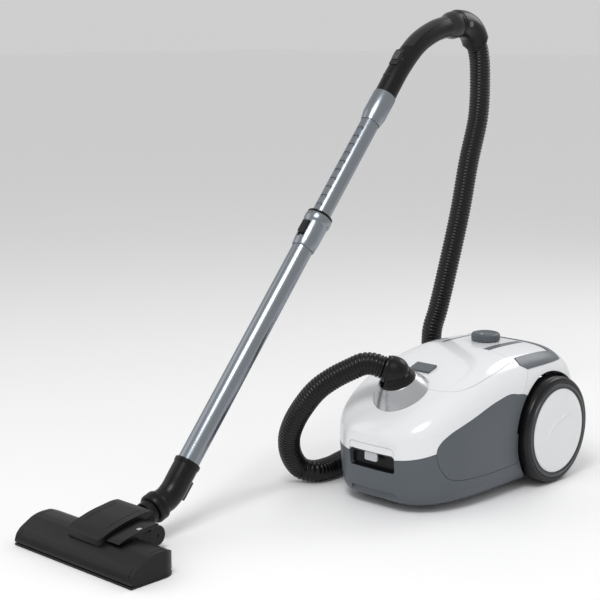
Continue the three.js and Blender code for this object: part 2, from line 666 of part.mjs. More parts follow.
function nozzleHood() {
  const outline = [
    [-690, 41.4], [-640, 41.4], [-624, 47], [-588, 58], [-586, 64], [-600, 65], [-640, 59.5], [-672, 51.5],
    [-688, 45],
  ];
  return prismX(outline, [WAND_X - 40, WAND_X + 40]);
}

function solePlate() {
  const { left, right, front, rear, slot } = NOZZLE;
  const plate = block([left, right], [front, rear], [0, SOLE_TOP]);
  const opening = block([left + 16, right - 16], [front + 22, front + 22 + slot], [-5, 10]);
  return cut(plate, opening, rollerBay(1), brushStrips(GAP, -10), rearCorners(0));
}

function brushStrips(grow, base) {
  const strip = (y) => block(
    [NOZZLE.left + 12 - grow, NOZZLE.right - 12 + grow], [y - grow, y + 4 + grow], [base, 14],
  );
  return join(strip(NOZZLE.front + 9), strip(NOZZLE.rear - 32));
}

function brushCarrier() {
  const bar = (x) => block([x, x + 8], [NOZZLE.front + 9, NOZZLE.rear - 28], [11, 14]);
  return join(brushStrips(0, SOLE_TOP + GAP), bar(NOZZLE.left + 12), bar(NOZZLE.right - 20));
}

function nozzleRoller() {
  const { x, y, z, r, halfWidth } = ROLLER;
  const roll = (side) => rod(
    ...spread(NOZZLE_MIDDLE + side * x, halfWidth).map((end) => point(end, y, z)), r, r, 20,
  );
  return join(mirrored(roll), rod(point(NOZZLE_MIDDLE - x, y, z), point(NOZZLE_MIDDLE + x, y, z), 2, 2, 12));
}

function nozzlePedal() {
  const outline = [
    [-682, 41.5], [-668, 41.5], [-622, 50], [-606, 52], [-604, 56], [-620, 56.5], [-646, 52], [-672, 46],
  ];
  return prismX(outline, [WAND_X + 42, WAND_X + 72]);
}

// ---- assembly -----------------------------------------------------------------------------------------
part('lower_shell', SLATE, lowerShell());
part('lid', WHITE, lid());
part('top_cover', WHITE, topCover());
part('carry_handle', SLATE, carryHandle());
part('rear_grille', SLATE, rearGrille());
part('lid_latch', WHITE, lidLatch());
part('release_tab', SLATE, releaseTab());
part('knob', SLATE, knob());
for (const [name, side] of [['left', 1], ['right', -1]]) {
  part(`side_panel_${name}`, SLATE, sidePanel(side));
  part(`tyre_${name}`, RUBBER, tyre(side));
  part(`wheel_${name}`, SATIN_BLACK, wheel(side));
  part(`hubcap_${name}`, WHITE, hubcap(side));
  part(`axle_${name}`, STEEL, rod(onAxle(side, 94), onAxle(side, 137), WHEEL.axle, WHEEL.axle, 20));
}
part('rewind_pedal', SLATE, pedal(REWIND));
part('power_pedal', SLATE, pedal(POWER));
part('caster_fork', SLATE, casterFork());
part('caster_wheel', RUBBER, casterWheel());

part('dust_bag', PAPER, dustBag());
part('bag_holder', PALE, pipe(onInlet(-38.4), onInlet(-35.8), 44, 22));
part('inlet_seal', RUBBER, pipe(onInlet(-35.4), onInlet(-32.4), 30, 21.5));
part('bulkhead', SLATE, bulkhead());
part('motor_filter', FOAM, block([-62, 62], [25.4, 33], [56, 154]));
part('fan_shroud', STEEL, fanShroud());
part('motor_can', STEEL, pipe(motorAxis(61.4), motorAxis(128), MOTOR.can, MOTOR.shaft + 1));
part('fan', COPPER, fan());
part('cable_reel', BLACK, cableReel());
part('reel_axle', STEEL, reelAxle());
part('control_board', finish(0x2f5d3a, 0.6), block([-38, 38], [62, 128], [200, 202]));
part('exhaust_filter', FOAM, block([-44, 44], [190, 198], [122, 164]));
part('cord_gland', RUBBER, pipe(point(45, 198, 62), point(45, 214, 62), 8, 4));

part('inlet_collar', SILVER, inletCollar());
part('hose_elbow', BLACK, hoseElbow());
part('cuff_clip', SATIN_BLACK, rod(clipReach(25.5), clipReach(31), CLIP.r, CLIP.r, 16));
part('inlet_swivel_ring', BLACK, pipe(fromElbow(GAP), fromElbow(8), 23.5, 17));

part('handle', BLACK, handle());
part('air_slider', PALE, tubeBlock([784, 800], [21, 24], 6));
part('handle_cuff', BLACK, handleCuff());
part('cuff_button', PALE, rod(cuffButtonAt(22.5), cuffButtonAt(27), 5));
part('handle_swivel_ring', BLACK, pipe(onCuff(GAP), onCuff(6.4), 22, 17));
part('tube_collar', STEEL, tubeCollar());
part('inner_tube', STEEL, tube(INNER_TUBE));
part('outer_tube', STEEL, tube(OUTER_TUBE));
part('tube_sleeve', BLACK, tubeSleeve());
part('tube_button', SATIN_BLACK, tubeButton());

part('neck_elbow', BLACK, neckElbow());
part('neck_clip', BLACK, neckClip());
part('neck_ring', BLACK, pipe(onNeck(-6), onNeck(13), NECK.ring, 16));
part('yoke', BLACK, yoke());
part('nozzle_housing', BLACK, nozzleHousing());
part('nozzle_hood', BLACK, nozzleHood());
part('sole_plate', BLACK, solePlate());
part('brush_carrier', BLACK, brushCarrier());
part('nozzle_roller', PALE, nozzleRoller());
part('nozzle_pedal', BLACK, nozzlePedal());

// The origin is the middle of the footprint of everything but the hose, on the floor.
vacuum.updateMatrixWorld(true);
const middle = new THREE.Box3().setFromObject(vacuum, true).getCenter(point(0, 0, 0));
part('hose', BLACK, bent(HOSE_ROUTE, HOSE.r, HOSE.sides, HOSE.steps));
vacuum.position.set(-middle.x, -middle.y, 0);

export default vacuum;
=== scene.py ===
# Looks of the canister vacuum cleaner. Sizes are millimetres in the canister's own frame: its middle
# at x = 0, y = 0, its front facing -Y, the floor at z = 0. place() turns them into row-frame metres.
import math

import bmesh
import bpy
import numpy as np
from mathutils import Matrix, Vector


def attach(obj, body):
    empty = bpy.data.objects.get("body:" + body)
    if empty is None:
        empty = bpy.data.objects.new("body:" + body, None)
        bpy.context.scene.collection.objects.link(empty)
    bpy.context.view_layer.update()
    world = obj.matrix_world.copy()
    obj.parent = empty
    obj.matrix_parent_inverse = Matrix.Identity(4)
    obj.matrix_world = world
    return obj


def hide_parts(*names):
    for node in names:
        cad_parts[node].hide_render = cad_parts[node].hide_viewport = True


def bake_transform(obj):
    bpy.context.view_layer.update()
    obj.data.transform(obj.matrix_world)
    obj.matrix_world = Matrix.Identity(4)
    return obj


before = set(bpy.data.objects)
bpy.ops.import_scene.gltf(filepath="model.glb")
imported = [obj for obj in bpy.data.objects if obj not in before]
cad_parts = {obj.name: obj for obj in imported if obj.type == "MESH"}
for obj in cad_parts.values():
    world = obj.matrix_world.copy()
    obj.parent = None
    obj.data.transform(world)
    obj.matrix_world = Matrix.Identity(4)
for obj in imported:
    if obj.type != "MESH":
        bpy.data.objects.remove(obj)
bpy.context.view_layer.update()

# ---- driving dimensions -----------------------------------------------------------------------------
SHIFT = Vector((67.0, 225.87, 0.0))
MM = 0.001
SEAM_GAP = 0.7
WALL = 3.0
ALL = (-300.0, 300.0)
FAR = 260.0  # past the housing on every side
FINE, COARSE = 84, 60  # divisions along each edge of the box that a housing form is made from

NOSE, TAIL, HALF_WIDTH = 214.0, 211.0, 126.0
WAIST_Z, BELLY_Z, CROWN_Z = 95.5, 8.0, 232.0
HINGE_Y, HINGE_GAP = 35.5, 0.8
SEAM_Z, SEAM_BEND_Y, SEAM_NOSE_Z = 101.5, -170.0, 73.5
WHEEL_Y, WHEEL_R, WHEEL_IN, WHEEL_FAR = 115.0, 91.7, 109.0, 170.0
WELL_BACK, WELL_GAP, WELL_WALL_BACK, WELL_WALL_GAP = 3.0, 4.0, 7.0, 7.5
CASTER_Y, CASTER_WELL_R, CASTER_WELL_TOP = -148.0, 25.0, 33.0
KNOB_Y, KNOB_RIDGES, KNOB_RIDGE_REACH = 94.0, 30, 25.5
PEDAL_FRONT, PEDAL_REAR, PEDAL_DEPTH, ROOF_LOW = 37.5, 137.0, 7.0, 190.0
REWIND_X, REWIND_HALF, POWER_X, POWER_HALF = 43.0, 6.5, -50.0, 2.5
GRILLE_HALF, GRILLE_LOW, GRILLE_HIGH = 50.0, 118.0, 170.0
BAR_X, BAR_Y, BAR_FRONT, BAR_TOE, BAR_REAR, BAR_LOW = 93.0, 150.0, 47.5, 61.5, 166.0, 204.0
BAR_PIVOT_Y, BAR_PIVOT_Z, BAR_PIVOT_R = 56.0, 216.0, 8.2
LATCH_HALF, LATCH_TOP, LATCH_LOW = 47.0, 107.5, 88.5
RECESS_LOW, RECESS_HIGH, RECESS_DEPTH, RECESS_CORNER = 66.0, 96.0, 15.0, 6.0
TOE_HALF, TOE_TOP, TOE_DEPTH, TOE_CORNER = 48.0, 32.0, 14.0, 7.0
INLET_Y, INLET_Z, INLET_LEAN, INLET_HOLE_R = -137.0, 184.0, math.radians(25.8), 29.0
ELBOW_R = 24.5
WAND_X, FOOT_Y, FOOT_Z, WAND_ANGLE = -143.0, -482.0, 104.0, math.radians(49.7)
NOZZLE_LEFT, NOZZLE_RIGHT, NOZZLE_FRONT, NOZZLE_REAR, NOZZLE_TOP = -278.0, -8.0, -712.0, -622.0, 41.0
LOWER_TUBE_R, UPPER_TUBE_R, GRIP_R, CUFF_R = 17.8, 16.2, 18.8, 24.4
NOTCHES, NOTCH_START, NOTCH_STEP, NOTCH_LENGTH = 10, 480.0, 17.5, 6.0
BARREL_Y, BARREL_Z, BARREL_R, BARREL_HALF = -583.0, 24.0, 16.2, 38.0
HOOD_HALF, HOOD_GROOVE_IN, HOOD_GROOVE_OUT = 40.0, 26.0, 26.9
NECK_Y, NECK_Z, NECK_DROP, NECK_R = -545.0, 52.0, math.radians(20), 20.2
CAMERA_EYE, CAMERA_AIM, CAMERA_LENS = (1512.29, -1983.96, 775.56), (-173.053, -194.535, 319.970), 89.6

HOSE_R, RIB_PITCH, RIB_HEIGHT = 19.0, 5.7, 2.3
HOSE_ROUTE = [
    (-14.1, -162.7, 223.5), (-19.5, -166.2, 225.5), (-29, -172.4, 229), (-43, -181, 228.5),
    (-59, -190, 220), (-86, -206, 202.5),
    (-110, -220, 181), (-133, -228, 151), (-155, -229, 118), (-174, -220.5, 83.6), (-181, -207.5, 52),
    (-181, -182, 23), (-163, -169, 19.5), (-158, -137, 19.4), (-166, -97, 19.4), (-177, -50, 19.4),
    (-190, 0, 19.4), (-199, 60, 19.4), (-205, 115, 22), (-208, 160, 42), (-207, 190, 84),
    (-204, 200, 140), (-195, 192, 209), (-188, 199, 246.5), (-176, 216, 339), (-165, 231.5, 432),
    (-156, 243, 524.5), (-150, 259.5, 600), (-147, 260, 637), (-144.5, 256.6, 679.6), (-143, 252.5, 706),
    (-143, 249.5, 719.5), (-143, 246, 730.1), (-143, 241.4, 738.1),
]


def place(p):
    return (Vector(p) + SHIFT) * MM


# ---- camera -----------------------------------------------------------------------------------------
def make_camera(eye, target, lens):
    data = bpy.data.cameras.new("camera")
    data.lens, data.sensor_width = lens, 36.0
    camera = bpy.data.objects.new("camera", data)
    bpy.context.scene.collection.objects.link(camera)
    camera.location = place(eye)
    camera.rotation_euler = (place(target) - place(eye)).to_track_quat("-Z", "Y").to_euler()
    bpy.context.scene.camera = camera


make_camera(CAMERA_EYE, CAMERA_AIM, CAMERA_LENS)


# ---- materials --------------------------------------------------------------------------------------
def link_noise(nodes, links, scale, detail=4.0):
    coords = nodes.new("ShaderNodeTexCoord")
    noise = nodes.new("ShaderNodeTexNoise")
    noise.inputs["Scale"].default_value = scale
    noise.inputs["Detail"].default_value = detail
    links.new(coords.outputs["Object"], noise.inputs["Vector"])
    return noise.outputs["Fac"]


def material(name, color, rough, metal=0.0, grain=2500.0, depth=0.02, coat=0.0, spread=0.06, gleam=0.5):
    """A solid colour with a fine surface grain and a slow wander of its roughness."""
    mat = bpy.data.materials.new(name)
    mat.use_nodes = True
    nodes, links = mat.node_tree.nodes, mat.node_tree.links
    shader = nodes["Principled BSDF"]
    shader.inputs["Base Color"].default_value = (*color, 1.0)
    shader.inputs["Metallic"].default_value = metal
    shader.inputs["Specular IOR Level"].default_value = gleam
    shader.inputs["Coat Weight"].default_value = coat
    shader.inputs["Coat Roughness"].default_value = 0.08
    wander = nodes.new("ShaderNodeMapRange")
    links.new(link_noise(nodes, links, 26.0), wander.inputs["Value"])
    wander.inputs["To Min"].default_value = max(0.02, rough - spread)
    wander.inputs["To Max"].default_value = rough + spread
    links.new(wander.outputs["Result"], shader.inputs["Roughness"])
    bump = nodes.new("ShaderNodeBump")
    bump.inputs["Strength"].default_value = depth
    bump.inputs["Distance"].default_value = 0.0004
    links.new(link_noise(nodes, links, grain, 2.0), bump.inputs["Height"])
    links.new(bump.outputs["Normal"], shader.inputs["Normal"])
    return mat


WHITE = material("gloss_white", (0.80, 0.81, 0.825), 0.16, coat=0.5, depth=0.01, spread=0.03)
SLATE = material("slate_plastic", (0.085, 0.099, 0.114), 0.42, depth=0.18)
TRIM = material("slate_trim", (0.10, 0.116, 0.133), 0.3, depth=0.08)
DARK_SLATE = material("dark_slate", (0.035, 0.040, 0.046), 0.5, depth=0.2)
BLACK = material("satin_black", (0.005, 0.005, 0.0055), 0.3, depth=0.06, gleam=0.24)
SPARK = material("spark_black", (0.005, 0.005, 0.0055), 0.38, grain=1500.0, depth=0.2, gleam=0.24)
CHARCOAL = material("charcoal", (0.012, 0.0125, 0.0135), 0.3, depth=0.05, gleam=0.4)
GREY = material("mid_grey", (0.10, 0.104, 0.11), 0.34, depth=0.05)
HOSE_BLACK = material("hose_black", (0.004, 0.004, 0.0045), 0.26, depth=0.03, gleam=0.3)
RUBBER = material("tyre_rubber", (0.004, 0.004, 0.0045), 0.28, depth=0.05, gleam=0.3)
RIM = material("wheel_rim", (0.045, 0.050, 0.056), 0.34, depth=0.1)
SILVER = material("satin_silver", (0.50, 0.515, 0.53), 0.26, metal=0.85, depth=0.05)
CHROME = material("tube_chrome", (0.27, 0.295, 0.325), 0.26, metal=1.0, depth=0.01, spread=0.03)
STEEL = material("brushed_steel", (0.48, 0.49, 0.50), 0.32, metal=1.0, depth=0.2)
ALLOY = material("fan_alloy", (0.6, 0.6, 0.61), 0.35, metal=1.0, depth=0.1)
FLEECE = material("bag_fleece", (0.62, 0.56, 0.46), 0.92, grain=900.0, depth=0.8)
PALE = material("pale_plastic", (0.33, 0.35, 0.37), 0.4, depth=0.12)
LIGHT = material("light_plastic", (0.50, 0.52, 0.54), 0.36, depth=0.1)
FOAM = material("filter_foam", (0.05, 0.055, 0.06), 0.95, grain=700.0, depth=1.0)
BOARD = material("circuit_board", (0.02, 0.10, 0.035), 0.35, depth=0.05)
BRISTLE = material("bristle", (0.02, 0.02, 0.02), 0.8, grain=1800.0, depth=0.9)

CAD_FINISH = {
    SLATE: "caster_fork bulkhead lower_shell carry_handle side_panel_left side_panel_right knob rewind_pedal"
           " power_pedal release_tab",
    DARK_SLATE: "rear_grille",
    BLACK: "cable_reel handle handle_cuff cuff_clip hose_elbow inlet_swivel_ring handle_swivel_ring"
           " tube_sleeve tube_button neck_elbow neck_clip neck_ring",
    SPARK: "yoke nozzle_housing nozzle_hood nozzle_pedal sole_plate",
    WHITE: "lid top_cover lid_latch hubcap_left hubcap_right",
    HOSE_BLACK: "hose",
    RUBBER: "tyre_left tyre_right caster_wheel inlet_seal cord_gland",
    RIM: "wheel_left wheel_right",
    SILVER: "inlet_collar",
    CHROME: "inner_tube outer_tube tube_collar",
    STEEL: "axle_left axle_right reel_axle fan_shroud motor_can",
    ALLOY: "fan",
    FLEECE: "dust_bag",
    PALE: "bag_holder air_slider cuff_button nozzle_roller",
    FOAM: "motor_filter exhaust_filter",
    BOARD: "control_board",
    BRISTLE: "brush_carrier",
}


def paint(obj, mat):
    obj.data.materials.clear()
    obj.data.materials.append(mat)


def paint_cad():
    for mat, names in CAD_FINISH.items():
        for name in names.split():
            paint(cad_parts[name], mat)


# ---- shapes -----------------------------------------------------------------------------------------
def mesh_object(name, corners, faces):
    mesh = bpy.data.meshes.new(name)
    mesh.from_pydata([place(c) for c in corners], [], faces)
    work = bmesh.new()
    work.from_mesh(mesh)
    if work.calc_volume(signed=True) < 0:
        bmesh.ops.reverse_faces(work, faces=work.faces)
    work.to_mesh(mesh)
    work.free()
    obj = bpy.data.objects.new(name, mesh)
    bpy.context.scene.collection.objects.link(obj)
    return obj


def drawn_out(name, near, far):
    """A closed solid between two matching loops of corners."""
    n = len(near)
    sides = [(i, (i + 1) % n, n + (i + 1) % n, n + i) for i in range(n)]
    return mesh_object(name, near + far, [tuple(range(n))[::-1], tuple(range(n, 2 * n)), *sides])


def prism(outline, x):
    """An outline of (y, z) points drawn out along X."""
    area = sum(a[0] * b[1] - b[0] * a[1] for a, b in zip(outline, outline[1:] + outline[:1]))
    loop = list(outline) if area > 0 else list(outline)[::-1]
    return drawn_out("prism", [(x[0], *p) for p in loop], [(x[1], *p) for p in loop])


def block(x, y, z):
    return prism([(y[0], z[0]), (y[1], z[0]), (y[1], z[1]), (y[0], z[1])], x)


def axes_of(direction):
    along = Vector(direction).normalized()
    side = along.orthogonal().normalized()
    return along, side, along.cross(side)


def lathe(origin, direction, profile, sides=96, ring=False):
    """Turns (distance, radius) pairs about an axis. A ring's profile closes on itself."""
    along, u, v = axes_of(direction)
    origin = Vector(origin)
    corners, rows = [], []
    for distance, radius in profile:
        middle = origin + along * distance
        if radius < 1e-6:
            rows.append([len(corners)] * sides)
            corners.append(middle)
            continue
        rows.append(list(range(len(corners), len(corners) + sides)))
        for k in range(sides):
            angle = 2 * math.pi * k / sides
            corners.append(middle + (u * math.cos(angle) + v * math.sin(angle)) * radius)
    pairs = list(zip(rows, rows[1:] + rows[:1])) if ring else list(zip(rows, rows[1:]))
    faces = []
    for a, b in pairs:
        for k in range(sides):
            face = [a[k], a[(k + 1) % sides], b[(k + 1) % sides], b[k]]
            faces.append(tuple(dict.fromkeys(face)))
    return mesh_object("lathe", corners, [f for f in faces if len(f) > 2])


def rod(a, b, r, r_end=None, sides=64):
    a, b = Vector(a), Vector(b)
    length = (b - a).length
    return lathe(a, b - a, [(0, 0), (0, r), (length, r if r_end is None else r_end), (length, 0)], sides)


def smooth_route(points, spacing):
    """Points a fixed distance apart on a centripetal curve through the given ones."""
    pts = [Vector(p) for p in points]
    pts = [pts[0] * 2 - pts[1], *pts, pts[-1] * 2 - pts[-2]]
    dense = []
    for p0, p1, p2, p3 in zip(pts, pts[1:], pts[2:], pts[3:]):
        t0 = 0.0
        t1 = t0 + (p1 - p0).length ** 0.5
        t2 = t1 + (p2 - p1).length ** 0.5
        t3 = t2 + (p3 - p2).length ** 0.5
        for k in range(40):
            t = t1 + (t2 - t1) * k / 40
            a1 = p0.lerp(p1, (t - t0) / (t1 - t0))
            a2 = p1.lerp(p2, (t - t1) / (t2 - t1))
            a3 = p2.lerp(p3, (t - t2) / (t3 - t2))
            b1 = a1.lerp(a2, (t - t0) / (t2 - t0))
            b2 = a2.lerp(a3, (t - t1) / (t3 - t1))
            dense.append(b1.lerp(b2, (t - t1) / (t2 - t1)))
    dense.append(pts[-2])
    reach = np.concatenate([[0.0], np.cumsum([(b - a).length for a, b in zip(dense, dense[1:])])])
    wanted = np.linspace(0, reach[-1], max(2, round(reach[-1] / spacing) + 1))
    table = np.array([tuple(p) for p in dense])
    return [Vector(p) for p in np.stack([np.interp(wanted, reach, table[:, i]) for i in range(3)], 1)], wanted


def sweep(points, radius_at, spacing, sides=48):
    """A round bar along a route; radius_at gives its radius at each distance."""
    route, reach = smooth_route(points, spacing)
    ahead = [(b - a).normalized() for a, b in zip(route, route[1:])]
    tangents = [ahead[0], *[(a + b).normalized() for a, b in zip(ahead, ahead[1:])], ahead[-1]]
    u = tangents[0].orthogonal().normalized()
    corners = []
    for middle, tangent, distance in zip(route, tangents, reach):
        u = (u - tangent * u.dot(tangent)).normalized()
        v = tangent.cross(u)
        r = radius_at(distance)
        for k in range(sides):
            angle = 2 * math.pi * k / sides
            corners.append(middle + (u * math.cos(angle) + v * math.sin(angle)) * r)
    faces = []
    for i in range(len(route) - 1):
        for k in range(sides):
            a, b = i * sides + k, i * sides + (k + 1) % sides
            faces.append((a, b, b + sides, a + sides))
    last = (len(route) - 1) * sides
    faces += [tuple(range(sides))[::-1], tuple(range(last, last + sides))]
    return mesh_object("sweep", corners, faces)


def combine(target, operation, *tools):
    """Adds, cuts or keeps with closed solids, and removes the tools."""
    for tool in tools:
        modifier = target.modifiers.new("combine", "BOOLEAN")
        modifier.operation, modifier.solver, modifier.object = operation, "MANIFOLD", tool
        graph = bpy.context.evaluated_depsgraph_get()
        mesh = bpy.data.meshes.new_from_object(target.evaluated_get(graph))
        target.modifiers.clear()
        target.data = mesh
        bpy.data.objects.remove(tool)
    return target


def cut(target, *tools):
    return combine(target, "DIFFERENCE", *tools)


def keep(target, *tools):
    return combine(target, "INTERSECT", *tools)


def add(target, *tools):
    return combine(target, "UNION", *tools)


def copy_of(obj):
    twin = obj.copy()
    twin.data = obj.data.copy()
    bpy.context.scene.collection.objects.link(twin)
    return twin


def present(obj, name, body, nodes, mat, edge=0.0, angle=32.0):
    """Names, smooths, rounds and paints a finished piece, and lets it stand for its CAD nodes."""
    obj.name = name
    paint(obj, mat)
    mesh = obj.data
    mesh.shade_smooth()
    mesh.set_sharp_from_angle(angle=math.radians(angle))
    if edge:
        bevel = obj.modifiers.new("edges", "BEVEL")
        bevel.width, bevel.segments = edge * MM, 3
        bevel.limit_method, bevel.angle_limit = "ANGLE", math.radians(angle)
        bevel.harden_normals = True
    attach(obj, body)
    if nodes:
        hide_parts(*nodes.split())
    return obj


def on_line(origin, direction):
    origin, direction = Vector(origin), Vector(direction).normalized()
    return lambda distance: origin + direction * distance


# ---- hose -------------------------------------------------------------------------------------------
def make_hose():
    def rib(distance):
        phase = (distance / RIB_PITCH) % 1.0
        return HOSE_R - RIB_HEIGHT + RIB_HEIGHT * math.sin(math.pi * phase) ** 0.55

    obj = sweep(HOSE_ROUTE, rib, RIB_PITCH / 7, 40)
    obj.name = "hose_ribbed"
    paint(obj, HOSE_BLACK)
    obj.data.shade_smooth()
    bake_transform(obj)
    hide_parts("hose")


# ---- housing ----------------------------------------------------------------------------------------
def housing(inset, n=FINE):
    """The canister's rounded form, from a finely divided box pushed out to it."""
    grid = np.linspace(-1, 1, n + 1)
    found, corners, faces = {}, [], []
    for axis in range(3):
        for side in (-1, 1):
            index = np.zeros((n + 1, n + 1), int)
            for i in range(n + 1):
                for j in range(n + 1):
                    p = [0.0, 0.0, 0.0]
                    p[axis] = float(side)
                    p[(axis + 1) % 3] = grid[i]
                    p[(axis + 2) % 3] = grid[j]
                    key = tuple(round(c, 6) for c in p)
                    if key not in found:
                        found[key] = len(corners)
                        corners.append(p)
                    index[i, j] = found[key]
            for i in range(n):
                for j in range(n):
                    loop = [index[i, j], index[i + 1, j], index[i + 1, j + 1], index[i, j + 1]]
                    faces.append(tuple(int(v) for v in (loop if side > 0 else loop[::-1])))
    ray = np.array(corners)
    ray /= np.linalg.norm(ray, axis=1)[:, None]
    ray *= np.array([HALF_WIDTH, NOSE, CROWN_Z - WAIST_Z])
    low, high = np.zeros(len(ray)), np.full(len(ray), 2.2)
    for _ in range(34):
        middle = (low + high) / 2
        outside = field(ray * middle[:, None], inset) > 0
        high = np.where(outside, middle, high)
        low = np.where(outside, low, middle)
    points = ray * low[:, None] + np.array([0, 0, WAIST_Z])
    return mesh_object("housing", [tuple(p) for p in points], faces)


def rounding(s, n):
    return np.maximum(0, 1 - s ** n) ** (1 / n)


def field(p, inset):
    """Below 0 inside the housing; z is measured from the waist."""
    x, y, z = p[:, 0], p[:, 1], p[:, 2]
    taper = 1 - 0.04 * np.maximum(0, -z) / (WAIST_Z - BELLY_Z)
    x, y = np.abs(x) / taper, y / taper
    front = y < 0
    s = np.abs(y) / (np.where(front, NOSE, TAIL) - inset)
    inner = np.minimum(s, 0.999999)
    crest = CROWN_Z - 0.0012 * np.minimum(0, y - 64) ** 2
    roof = (crest - inset - WAIST_Z) * np.where(front, rounding(inner, 6), rounding(inner, 5.2))
    floor = (WAIST_Z - BELLY_Z - inset) * rounding(inner, 10)
    width = (HALF_WIDTH - inset) * np.where(front, rounding(inner, 3.1), rounding(inner, 9))
    above = z > 0
    n = np.where(above, 4.1, 8.0)
    with np.errstate(over="ignore", invalid="ignore"):
        value = (x / width) ** n + (np.abs(z) / np.where(above, roof, floor)) ** n - 1
    return np.where(s >= 1, 1.0, value)


SIDE_PANEL = [
    (-170, 98), (-168, 112), (-159, 123.5), (-139, 136), (-57, 163.5), (-12, 172), (0, 172.6), (9, 171.6),
    (21, 168.6), (36, 167), (66, 153), (66, 56), (30, 50), (-79, 48.5), (-132, 51.6), (-149, 58), (-164, 78),
]


def rounded_outline(outline, steps=6, reach=0.33):
    """Cuts every corner of an outline into a short curve."""
    made = []
    n = len(outline)
    for i in range(n):
        before, here, after = (Vector(outline[(i + k) % n]) for k in (-1, 0, 1))
        a, b = here.lerp(before, reach), here.lerp(after, reach)
        for k in range(steps + 1):
            t = k / steps
            made.append(tuple((a * (1 - t) ** 2 + here * 2 * t * (1 - t) + b * t ** 2)))
    return made


def shrunk(outline, amount):
    """The outline moved inward by an amount; a negative amount grows it."""
    middle = Vector((sum(p[0] for p in outline), sum(p[1] for p in outline))) / len(outline)
    moved = []
    n = len(outline)
    for i in range(n):
        a, b = Vector(outline[i - 1]), Vector(outline[(i + 1) % n])
        out = Vector(((b - a).y, -(b - a).x)).normalized()
        if out.dot(Vector(outline[i]) - middle) < 0:
            out = -out
        moved.append(tuple(Vector(outline[i]) - out * amount))
    return moved


def panel_zone(side, grow):
    outline = shrunk(rounded_outline(SIDE_PANEL), -grow)
    return prism(outline, (30 - grow, 170) if side > 0 else (-170, -30 + grow))


def wheel_space(side, inner, radius):
    return rod((side * inner, WHEEL_Y, WHEEL_R), (side * WHEEL_FAR, WHEEL_Y, WHEEL_R), radius, sides=128)


def wheel_wall(side, grow):
    """The wheel's well with its wall."""
    return wheel_space(side, WHEEL_IN - WELL_WALL_BACK - grow, WHEEL_R + WELL_WALL_GAP + grow)


def wheel_well(side):
    return wheel_space(side, WHEEL_IN - WELL_BACK, WHEEL_R + WELL_GAP)


def rounded_rectangle(u, v, corner, steps, first=-90):
    """The outline of a rectangle over two spans, its corners rounded, from a first direction on."""
    outline = []
    for start in range(first, first + 360, 90):
        middle = math.radians(start + 45)
        mu = u[1] - corner if math.cos(middle) > 0 else u[0] + corner
        mv = v[1] - corner if math.sin(middle) > 0 else v[0] + corner
        for k in range(steps + 1):
            angle = math.radians(start + 90 * k / steps)
            outline.append((mu + corner * math.cos(angle), mv + corner * math.sin(angle)))
    return outline


def rounded_block(x, y, z, corner):
    """A block with rounded corners seen from the front (along Y)."""
    outline = rounded_rectangle(x, z, corner, 8)
    return drawn_out("block", [(a, y[0], b) for a, b in outline], [(a, y[1], b) for a, b in outline])


def rounded_plan(x, y, z, corner):
    """A block with rounded corners seen from above."""
    return upright(rounded_rectangle(x, y, corner, 12), z)


def upright(outline, z):
    """An outline of (x, y) points drawn out along Z."""
    return drawn_out("upright", [(*p, z[0]) for p in outline], [(*p, z[1]) for p in outline])


def curtain(points, half, z):
    """A thin upright wall along a smooth line through (x, y) points."""
    route, _ = smooth_route([(*p, 0) for p in points], 3.0)
    ahead = [(b - a).normalized() for a, b in zip(route, route[1:])]
    ahead.append(ahead[-1])
    left = [(p.x - d.y * half, p.y + d.x * half) for p, d in zip(route, ahead)]
    right = [(p.x + d.y * half, p.y - d.x * half) for p, d in zip(route, ahead)]
    return upright(left + right[::-1], z)


def latch_zone(grow):
    return rounded_block((-LATCH_HALF - grow, LATCH_HALF + grow), (-FAR, -203),
                         (LATCH_LOW - 12, LATCH_TOP + grow), 9 + grow)


def pedal_zone(middle, half, grow):
    return block((middle - half - grow, middle + half + grow), (PEDAL_FRONT - grow, PEDAL_REAR + grow),
                 (ROOF_LOW, FAR))


def rewind_zone(grow):
    return pedal_zone(REWIND_X, REWIND_HALF, grow)


def power_zone(grow):
    return pedal_zone(POWER_X, POWER_HALF, grow)


def grille_zone(grow):
    return block((-GRILLE_HALF - grow, GRILLE_HALF + grow), (150, FAR),
                 (GRILLE_LOW - grow, GRILLE_HIGH + grow))


def handle_zone(grow):
    outline = [
        (BAR_TOE - grow, BAR_LOW - grow), (BAR_REAR + grow, BAR_LOW - grow), (BAR_REAR + grow, FAR),
        (BAR_FRONT - grow, FAR), (BAR_FRONT - grow, 211.3),
    ]
    return cut(prism(outline, ALL), block((-BAR_X + grow, BAR_X - grow), (-100, BAR_Y - grow), (100, 280)))


def inlet_axis():
    return Vector((0, -math.sin(INLET_LEAN), math.cos(INLET_LEAN)))


on_inlet = on_line((0, INLET_Y, INLET_Z), inlet_axis())


def lid_rear(gap):
    """The (y, z) line of the hinge seam, from its low end up."""
    return [
        (HINGE_Y + gap, SEAM_Z + SEAM_GAP), (HINGE_Y + gap, 168), (HINGE_Y + 25 + gap, 204),
        (HINGE_Y + gap, 217), (HINGE_Y + gap, FAR),
    ]


